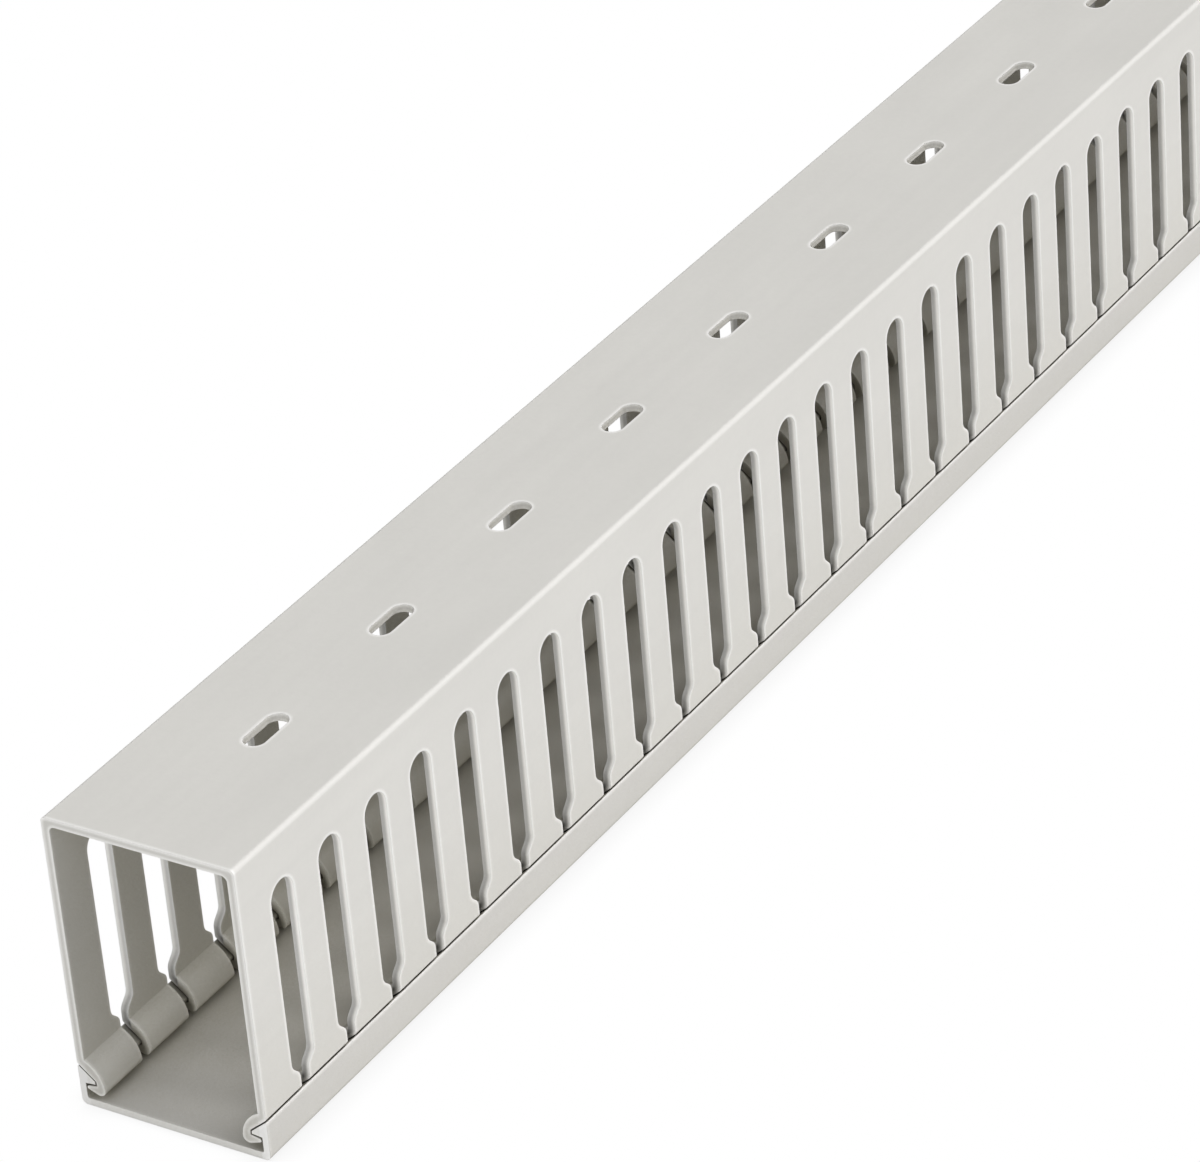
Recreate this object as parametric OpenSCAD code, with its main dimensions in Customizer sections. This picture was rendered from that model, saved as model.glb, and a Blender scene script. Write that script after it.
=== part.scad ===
// Slotted wiring duct, lying on its cover. A U-shaped duct body has two walls punched into fingers,
// and each finger ends in a curled hook. A shallow cover holds on the hooks by a barb along each flange.
// X runs along the duct, Y across it and Z up. The origin is the middle of the cover's underside.

/* [Duct] */
// Length of the piece
length = 1000; // [200:50:2000]
// Width over the outer faces of the walls
duct_w = 50; // [40:1:100]
// Height with the cover on
duct_h = 75; // [55:1:100]
// Thickness of the base and the walls
wall_t = 2; // [1.6:0.1:2.4]
// Outside radius along the two long edges of the base
base_edge_r = 1.2; // [0.5:0.1:2]
// Inside radius between the base and each wall
base_fillet_r = 1.5; // [0.5:0.1:3]

/* [Finger slots] */
// Distance from one slot to the next
slot_pitch = 18; // [16:0.5:25]
// Width of a slot between two fingers
slot_w = 8.5; // [7:0.5:10]
// Width of the first finger, from the end of the piece to the first slot
first_finger = 11.3; // [6:0.1:14]
// Distance from the outside of the base to the round end of a slot
slot_top = 11.5; // [8:0.1:15]
// Width of the neck between two fingertips
neck_w = 3.2; // [2:0.1:4]
// Height of the top of the neck over the underside of the cover
neck_top = 14.4; // [13:0.1:16]
// Angle of the shoulders from the sides of the slot
shoulder_angle = 46; // [36:1:52]
// Radius at both ends of each shoulder
shoulder_r = 2.6; // [0.5:0.1:3]

/* [Hooks] */
// Height at which the inner face of a wall turns into its hook
bend_top = 12; // [11.6:0.1:12.6]
// Height at which the outer face of a wall turns under
bend_bottom = 10.8; // [10.6:0.1:11.2]
// Radius of the turn in the outer face of a wall
bend_r = 0.8; // [0.2:0.1:1.2]
// Reach of a hook in from the outer face of its wall
hook_reach = 6.8; // [6.5:0.1:7.2]
// Height at which a hook reaches furthest in
hook_belly = 4.5; // [4.2:0.1:4.8]
// Radius of the heel under a hook
heel_r = 1.6; // [1:0.1:2]
// Slope of the outer face between a wall and the throat of its hook
throat_slope = 40; // [38:1:41]
// Distance from the outer face of a wall to the back of the throat
throat_in = 4.6; // [4.4:0.1:4.8]
// Height of the bottom of the throat
throat_bottom = 5.7; // [5.5:0.1:5.8]
// Radius at the top of the throat
throat_r = 0.8; // [0.3:0.1:1]
// Slope of the top of the lip, down towards its tip
lip_top_slope = 10; // [6:1:12]
// Slope of the underside of the lip, up towards its tip
lip_under_slope = 20; // [16:1:22]
// Radius of the tip of the lip
lip_tip_r = 0.5; // [0.4:0.05:0.6]

/* [Mounting slots] */
// Distance from one mounting slot to the next
mount_pitch = 50; // [40:5:100]
// Distance from the end of the piece to the middle of the first mounting slot
first_mount = 49; // [20:1:60]
// Length of a mounting slot over its round ends
mount_l = 14; // [8:0.5:20]
// Width of a mounting slot
mount_w = 5.5; // [4:0.5:7.5]

/* [Cover] */
// Thickness of the floor of the cover
cover_t = 1.8; // [1.4:0.1:2]
// Thickness of the flanges of the cover
flange_t = 1.6; // [1.4:0.1:1.7]
// Outside radius along the two long edges of the cover
cover_edge_r = 1.4; // [0.5:0.1:2]
// Radius between the floor of the cover and each flange
cover_fillet_r = 0.6; // [0.3:0.1:1]
// Radius along the outer top edge of each flange
flange_edge_r = 0.3; // [0.1:0.1:0.5]
// Thickness of a barb at its tip
barb_tip = 0.7; // [0.4:0.05:0.8]
// Slope of the underside of a barb, down towards its flange
barb_under_slope = 6; // [4:1:10]
// Clearance between the cover and the hooks
fit_gap = 0.35; // [0.25:0.05:0.4]

/* [Hidden] */
// Facets of a curve
$fn = 96;
// Overrun of a cutting shape
cut = 1;
// Overlap of shapes that would otherwise only touch along a curve
fuse = 0.01;
// Light grey sheet
grey = [0.80, 0.80, 0.785];
// Parts drawn by this file
// Part to draw

// Slots and mounting slots that fit on the piece
slot_count = floor((length - first_finger - slot_w - (slot_pitch - slot_w) / 2) / slot_pitch) + 1;
mount_count = floor((length - 2 * first_mount) / mount_pitch) + 1;

// The inner face of a hook is one arc from the wall past the furthest reach.
hook_rise = bend_top - hook_belly;
hook_r = (pow(hook_reach - wall_t, 2) + pow(hook_rise, 2)) / (2 * (hook_reach - wall_t));
hook_centre = [hook_reach - hook_r, hook_belly];
throat_top = bend_bottom - throat_in * tan(throat_slope);

// The tip of the lip clears the flange, and its round end touches both faces of the lip.
tip_in = flange_t + fit_gap + lip_tip_r;
tip = [
    tip_in,
    throat_bottom - (throat_in - tip_in) * tan(lip_top_slope) - lip_tip_r / cos(lip_top_slope)
];
tip_top = tip + lip_tip_r * dir(90 + lip_top_slope);
under = dir(-lip_under_slope);
under_start = tip - lip_tip_r * dir(90 - lip_under_slope);

// The heel touches the underside of the lip and the arc of the hook.
heel_start = under_start + heel_r * dir(90 - lip_under_slope) - hook_centre;
heel_run = sqrt(pow(heel_start * under, 2) - heel_start * heel_start + pow(hook_r - heel_r, 2))
    - heel_start * under;
heel = hook_centre + heel_start + heel_run * under;
heel_out = (heel - hook_centre) / (hook_r - heel_r);

// The barb fills the throat with a clearance all round.
barb_in = throat_in - fit_gap;
flange_top = bend_bottom - fit_gap / cos(throat_slope);
barb_top = flange_top - barb_in * tan(throat_slope);
barb_root = barb_top - barb_tip - (barb_in - flange_t) * tan(barb_under_slope);

function dir(angle) = [cos(angle), sin(angle)];

// Sliver between corner p, whose two sides leave at angles a and b, and radius r in that corner. Its
// outer sides stand off, so that it cuts clear of the corner, or reaches into the material behind it.
module corner(p, a, b, r) {
    half = (b - a) / 2;
    out = 1.5 * r;
    translate(p + r / sin(half) * dir(a + half)) difference() {
        polygon([[0, 0], out * dir(b + 90), -out / sin(half) * dir(a + half), out * dir(a - 90)]);
        circle(r + fuse);
    }
}

// Both long sides of a section whose side is drawn inwards from its outer face
module both_sides() {
    for (side = [0, 1]) mirror([side, 0]) translate([-duct_w / 2, 0]) children();
}

// A section in Y and Z, run along the whole piece
module run() {
    translate([-length / 2, 0, 0]) rotate([90, 0, 90]) linear_extrude(length) children();
}

// Open throat of a hook, above its lip
module throat() {
    difference() {
        polygon([
            [-cut, bend_bottom + cut * tan(throat_slope)], [throat_in, throat_top],
            [throat_in, throat_bottom], [-cut, throat_bottom - (throat_in + cut) * tan(lip_top_slope)]
        ]);
        corner([throat_in, throat_top], 180 - throat_slope, 270, throat_r);
    }
}

// A slotted wall and its hook
module wall_section() {
    difference() {
        union() {
            translate([0, bend_bottom]) square([wall_t, duct_h - bend_bottom]);
            intersection() {
                translate(hook_centre) circle(hook_r);
                polygon([
                    [0, bend_bottom], [0, bend_top + cut], [hook_reach + cut, bend_top + cut],
                    heel + 2 * heel_r * heel_out, heel, heel - heel_r * dir(90 - lip_under_slope),
                    under_start, tip, tip_top
                ]);
            }
            translate(heel) circle(heel_r + fuse);
            translate(tip) circle(lip_tip_r + fuse);
            corner([wall_t, duct_h - wall_t], -90, 0, base_fillet_r);
        }
        throat();
        corner([0, bend_bottom], -throat_slope, 90, bend_r);
        corner([0, duct_h], -90, 0, base_edge_r);
    }
}

// Opening between two fingers, in X and Z
module finger_slot() {
    shoulder_top = neck_top + (slot_w - neck_w) / 2 / tan(shoulder_angle);
    round_z = duct_h - slot_top - slot_w / 2;
    difference() {
        union() {
            translate([0, round_z]) circle(slot_w / 2);
            polygon([
                [-slot_w / 2, round_z], [slot_w / 2, round_z], [slot_w / 2, shoulder_top],
                [neck_w / 2, neck_top], [neck_w / 2, 0], [-neck_w / 2, 0],
                [-neck_w / 2, neck_top], [-slot_w / 2, shoulder_top]
            ]);
            for (side = [0, 1]) mirror([side, 0])
                corner([neck_w / 2, neck_top], -90, 90 - shoulder_angle, shoulder_r);
        }
        for (side = [0, 1]) mirror([side, 0])
            corner([slot_w / 2, shoulder_top], 90, 270 - shoulder_angle, shoulder_r);
    }
}

// Round-ended slot for a mounting screw, in X and Y
module mounting_slot() {
    square([mount_l - mount_w, mount_w], center = true);
    for (side = [-1, 1]) translate([side * (mount_l - mount_w) / 2, 0]) circle(mount_w / 2);
}

module duct_body() {
    color(grey) difference() {
        run() {
            both_sides() wall_section();
            translate([wall_t - duct_w / 2, duct_h - wall_t]) square([duct_w - 2 * wall_t, wall_t]);
        }
        for (i = [0 : slot_count - 1])
            translate([first_finger + slot_w / 2 + i * slot_pitch - length / 2, duct_w / 2 + cut, 0])
                rotate([90, 0, 0]) linear_extrude(duct_w + 2 * cut) finger_slot();
        for (i = [0 : mount_count - 1])
            translate([first_mount + i * mount_pitch - length / 2, 0, duct_h - wall_t - cut])
                linear_extrude(wall_t + 2 * cut) mounting_slot();
    }
}

module cover() {
    color(grey) run() difference() {
        union() {
            translate([-duct_w / 2, 0]) square([duct_w, cover_t]);
            both_sides() {
                polygon([
                    [0, 0], [flange_t, 0], [flange_t, barb_root], [barb_in, barb_top - barb_tip],
                    [barb_in, barb_top], [0, flange_top]
                ]);
                corner([flange_t, cover_t], 0, 90, cover_fillet_r);
            }
        }
        both_sides() {
            corner([0, 0], 0, 90, cover_edge_r);
            corner([0, flange_top], -90, -throat_slope, flange_edge_r);
        }
    }
}

duct_body();
cover();
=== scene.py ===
import math

import bpy
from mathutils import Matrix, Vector

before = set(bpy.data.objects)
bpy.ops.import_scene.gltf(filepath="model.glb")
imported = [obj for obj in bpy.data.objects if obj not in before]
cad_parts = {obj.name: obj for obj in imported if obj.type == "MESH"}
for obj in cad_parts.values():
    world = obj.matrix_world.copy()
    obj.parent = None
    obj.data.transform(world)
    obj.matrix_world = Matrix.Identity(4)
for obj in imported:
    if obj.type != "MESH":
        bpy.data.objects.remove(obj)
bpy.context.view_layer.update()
scene = bpy.context.scene

# Lengths are in metres, angles in degrees, and colours are linear.

# The duct: its wall from the inner face to just inside the outer one, and the necks of its finger slots
HALF_LENGTH = 0.5
WALL_IN, WALL_OUT = 0.0230, 0.0246
NECK_LOW, NECK_HIGH = 0.0135, 0.0190
EDGE_R = 0.0003

# Colours of the plastic as extruded, as punched and as sawn; the punched colour is whiter than the
# plastic and partly painted light on the cut faces
DUCT_PVC = (0.640, 0.632, 0.598)
COVER_PVC = (0.612, 0.605, 0.582)
PUNCHED_PVC_AND_PAINTED_LIGHT = (0.960, 0.950, 0.910)
SAWN_DUCT = (0.560, 0.552, 0.520)
SAWN_COVER = (0.800, 0.798, 0.785)

# A painted highlight along edges, and tints of painted shade in crevices and deep inside
PAINTED_EDGE_HIGHLIGHT = (0.960, 0.955, 0.935)
CREVICE_SHADE_TINT = (0.22, 0.205, 0.18)
CAVITY_SHADE_TINT = (0.62, 0.598, 0.525)

# How far around a point each of them looks
EDGE_WIDTH = 0.0010
CREVICE_WIDTH = 0.0020
CAVITY_WIDTH = 0.1000

# Noise per metre along X, Y and Z
MOTTLE = (28, 60, 60)
GRAIN = (900, 900, 900)
DRAWN_LINES = (4, 1100, 1100)
STREAKS = (6, 260, 260)

PVC_IOR = 1.53
BUMP_STRENGTH, BUMP_HEIGHT = 0.10, 0.0002


# ---------------------------------------------------------------- shader helpers
class Tree:
    """A node tree that is built one node at a time; links are given as inputs."""

    def __init__(self, owner):
        owner.use_nodes = True
        self.tree = owner.node_tree
        self.tree.nodes.clear()

    def add(self, kind, inputs=(), **props):
        node = self.tree.nodes.new("ShaderNode" + kind)
        for key, value in props.items():
            setattr(node, key, value)
        for key, value in dict(inputs).items():
            if isinstance(value, bpy.types.NodeSocket):
                self.tree.links.new(value, node.inputs[key])
            else:
                node.inputs[key].default_value = value
        return node

    def math(self, op, *values):
        return self.add("Math", dict(enumerate(values)), operation=op).outputs[0]

    def size(self, vector):
        """The size of each part of a vector, as three values."""
        plain = self.add("VectorMath", {0: vector}, operation="ABSOLUTE").outputs[0]
        return self.add("SeparateXYZ", {0: plain}).outputs

    def ramp(self, value, low, high, out_low=0.0, out_high=1.0):
        keys = ("Value", "From Min", "From Max", "To Min", "To Max")
        limits = dict(zip(keys, (value, low, high, out_low, out_high)))
        return self.add("MapRange", limits).outputs[0]

    def blend(self, factor, out_low, out_high):
        """From one value to another as the factor goes from 0 to 1."""
        return self.ramp(factor, 0.0, 1.0, out_low, out_high)

    def spread(self, noise, out_low, out_high):
        """Noise, which mostly lies between 0.3 and 0.7, spread over a range."""
        return self.ramp(noise, 0.3, 0.7, out_low, out_high)

    def mix(self, factor, a, b, blend_type="MIX"):
        a, b = (((*c, 1) if isinstance(c, tuple) else c) for c in (a, b))
        node = self.add("Mix", {0: factor, 6: a, 7: b}, data_type="RGBA", blend_type=blend_type)
        return node.outputs[2]

    def tint(self, colour, by):
        return self.mix(1.0, colour, by, "MULTIPLY")

    def occlusion(self, distance, inside=False):
        keys = {"Distance": distance}
        return self.add("AmbientOcclusion", keys, samples=4, inside=inside).outputs["AO"]

    def noise(self, vector, scale, detail):
        stretched = self.add("Mapping", {"Vector": vector, "Scale": scale}).outputs[0]
        keys = {"Vector": stretched, "Scale": 1.0, "Detail": detail}
        return self.add("TexNoise", keys).outputs[0]

    def seen_by_camera(self, other, shown):
        """One shader for the camera, and another for everything else."""
        camera_ray = self.add("LightPath").outputs["Is Camera Ray"]
        keys = {0: camera_ray, 1: other.outputs[0], 2: shown.outputs[0]}
        return self.add("MixShader", keys).outputs[0]


def pvc(name, seed, body_colour, sawn_colour, edge_highlight_strength):
    """Extruded PVC: drawn lines along X, mottling, pale cuts that are partly painted light, a painted
    edge highlight, and painted shade in crevices and recesses.
    """
    material = bpy.data.materials.new(name)
    t = Tree(material)
    place = t.add("TexCoord").outputs["Object"]
    here = t.add("VectorMath", {0: place, 1: (seed, 0, 0)}, operation="ADD").outputs[0]
    facing_x = t.size(t.add("NewGeometry").outputs["True Normal"])["X"]
    from_middle, across, height_up = t.size(place)

    mottle = t.noise(here, MOTTLE, 4.0)
    grain = t.noise(here, GRAIN, 2.0)
    drawn = t.noise(here, DRAWN_LINES, 3.0)
    streaks = t.noise(here, STREAKS, 3.0)

    # Punched and sawn faces cross the direction of extrusion. A punched wall is brightest near its outer
    # face, where the punch went in, and torn and darker towards the inner one and down in the necks; the
    # darkening is partly the torn plastic and partly painted shade where the neighbouring finger and
    # neck shut out light.
    cut = t.ramp(facing_x, 0.02, 0.10)
    through_wall = t.ramp(across, WALL_IN - 0.0004, WALL_IN)
    torn_and_painted_shade = t.ramp(across, WALL_IN, WALL_OUT, 0.20, 1.02)
    torn_and_painted_shade = t.math("MULTIPLY", torn_and_painted_shade, t.ramp(height_up, NECK_LOW, NECK_HIGH, 0.60, 1.0))
    torn_and_painted_shade = t.blend(through_wall, 0.62, torn_and_painted_shade)
    sawn = t.ramp(from_middle, HALF_LENGTH - 0.0010, HALF_LENGTH - 0.0005)
    across_grain = t.mix(sawn, t.tint(PUNCHED_PVC_AND_PAINTED_LIGHT, torn_and_painted_shade), sawn_colour)
    colour = t.mix(cut, body_colour, across_grain)
    tone = t.math("ADD", t.spread(mottle, 0.985, 1.015), t.spread(streaks, -0.010, 0.010))
    tone = t.math("ADD", tone, t.spread(grain, -0.010, 0.010))
    colour = t.tint(colour, tone)

    # A painted highlight along edges, and painted shade in crevices and deep inside, by how much of the
    # part lies close by
    edge = t.occlusion(EDGE_WIDTH, inside=True)
    crevice_shade_ao = t.occlusion(CREVICE_WIDTH)
    cavity = t.occlusion(CAVITY_WIDTH)
    in_wall = t.math("MULTIPLY", cut, through_wall)
    # Painted shade inside the duct, weaker on the cut faces within the wall
    painted_cavity_shade = t.math("MULTIPLY", t.ramp(cavity, 0.48, 0.32), t.blend(in_wall, 1.0, 0.25))
    # Painted highlight: a pale band along edges, weaker where painted shade lies inside
    painted_edge_highlight = t.ramp(edge, 0.90, 0.60, 0.0, edge_highlight_strength)
    painted_edge_highlight = t.math("MULTIPLY", painted_edge_highlight, t.ramp(painted_cavity_shade, 0.2, 0.9, 1.0, 0.25))
    colour = t.mix(painted_edge_highlight, colour, PAINTED_EDGE_HIGHLIGHT)
    colour = t.mix(painted_cavity_shade, colour, t.tint(colour, CAVITY_SHADE_TINT))
    # Painted shade in crevices and in the gaps between the parts
    colour = t.mix(t.ramp(crevice_shade_ao, 0.60, 0.10), colour, t.tint(colour, CREVICE_SHADE_TINT))

    rough = t.math("ADD", t.spread(mottle, 0.50, 0.58), t.spread(grain, -0.03, 0.03))
    rough = t.math("ADD", rough, t.math("MULTIPLY", cut, 0.15))
    lines = t.math("MULTIPLY", drawn, t.math("SUBTRACT", 1.0, cut))
    height = t.math("MULTIPLY_ADD", grain, 0.6, lines)
    soft = t.add("Bevel", {"Radius": EDGE_R}, samples=4).outputs[0]
    bump = t.add("Bump", {
        "Strength": BUMP_STRENGTH, "Distance": BUMP_HEIGHT, "Height": height, "Normal": soft,
    })
    shader = t.add("BsdfPrincipled", {
        "Base Color": colour, "Roughness": rough, "IOR": PVC_IOR, "Normal": bump.outputs[0],
    })
    t.add("OutputMaterial", {"Surface": shader.outputs[0]})
    return material


# The last value is the strength of each part's painted edge highlight
MATERIALS = {
    "duct_body": pvc("pvc_duct", 0.0, DUCT_PVC, SAWN_DUCT, 0.80),
    "cover": pvc("pvc_cover", 3.7, COVER_PVC, SAWN_COVER, 0.45),
}
for node_name, material in MATERIALS.items():
    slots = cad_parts[node_name].data.materials
    slots.clear()
    slots.append(material)


# ---------------------------------------------------------------- floor and background
def white_floor():
    """A white floor: plain white to the camera, with a painted contact shadow a little darker close to
    the part.
    """
    half, drop, shadow_width = 6.0, 0.0002, 0.010
    corners = [(-half, -half, 0), (half, -half, 0), (half, half, 0), (-half, half, 0)]
    mesh = bpy.data.meshes.new("floor")
    mesh.from_pydata(corners, [], [(0, 1, 2, 3)])
    floor = bpy.data.objects.new("floor", mesh)
    floor.location = (0, 0, -drop)
    scene.collection.objects.link(floor)
    material = bpy.data.materials.new("floor_white")
    t = Tree(material)
    keys = {"Distance": shadow_width}
    painted_shadow_ao = t.add("AmbientOcclusion", keys, samples=8).outputs["AO"]
    # Painted contact shadow: the emission dims where the part lies close
    shown = t.add("Emission", {"Strength": t.ramp(painted_shadow_ao, 0.35, 0.85, 0.90, 1.0)})
    plain = t.add("BsdfDiffuse", {"Color": (0.8, 0.8, 0.8, 1)})
    t.add("OutputMaterial", {"Surface": t.seen_by_camera(plain, shown)})
    mesh.materials.append(material)


def white_world(strength):
    """Even light from all round, and plain white behind the part."""
    world = bpy.data.worlds.new("world")
    scene.world = world
    t = Tree(world)
    soft = t.add("Background", {"Color": (1, 1, 1, 1), "Strength": strength})
    white = t.add("Background", {"Color": (1, 1, 1, 1), "Strength": 1.0})
    t.add("OutputWorld", {"Surface": t.seen_by_camera(soft, white)})


def soft_light(name, azimuth, elevation, strength, spread, colour=(1, 1, 1)):
    """A far soft box, given by the direction it shines from."""
    data = bpy.data.lights.new(name, "SUN")
    data.color = colour
    data.energy = strength
    data.angle = math.radians(spread)
    lamp = bpy.data.objects.new(name, data)
    az, el = math.radians(azimuth), math.radians(elevation)
    flat = math.cos(el)
    towards = Vector((math.cos(az) * flat, math.sin(az) * flat, math.sin(el)))
    lamp.location = towards * 3.0
    lamp.rotation_euler = towards.to_track_quat("Z", "Y").to_euler()
    scene.collection.objects.link(lamp)


white_floor()
white_world(0.36)
soft_light("key", -50, 41, 2.35, 45, (1.0, 0.99, 1.0))
soft_light("side", -170, 25, 1.3, 30)

# ---------------------------------------------------------------- camera
camera_data = bpy.data.cameras.new("camera")
camera_data.sensor_width = 36.0
camera_data.lens = 168.2856
camera_data.clip_start = 0.01
camera_data.clip_end = 20.0
camera = bpy.data.objects.new("camera", camera_data)
camera.location = (-1.26636, -0.63672, 0.71571)
camera.rotation_euler = [math.radians(angle) for angle in (59.2724, 4.3628, -58.7535)]
scene.collection.objects.link(camera)
scene.camera = camera
scene.view_settings.view_transform = "Standard"
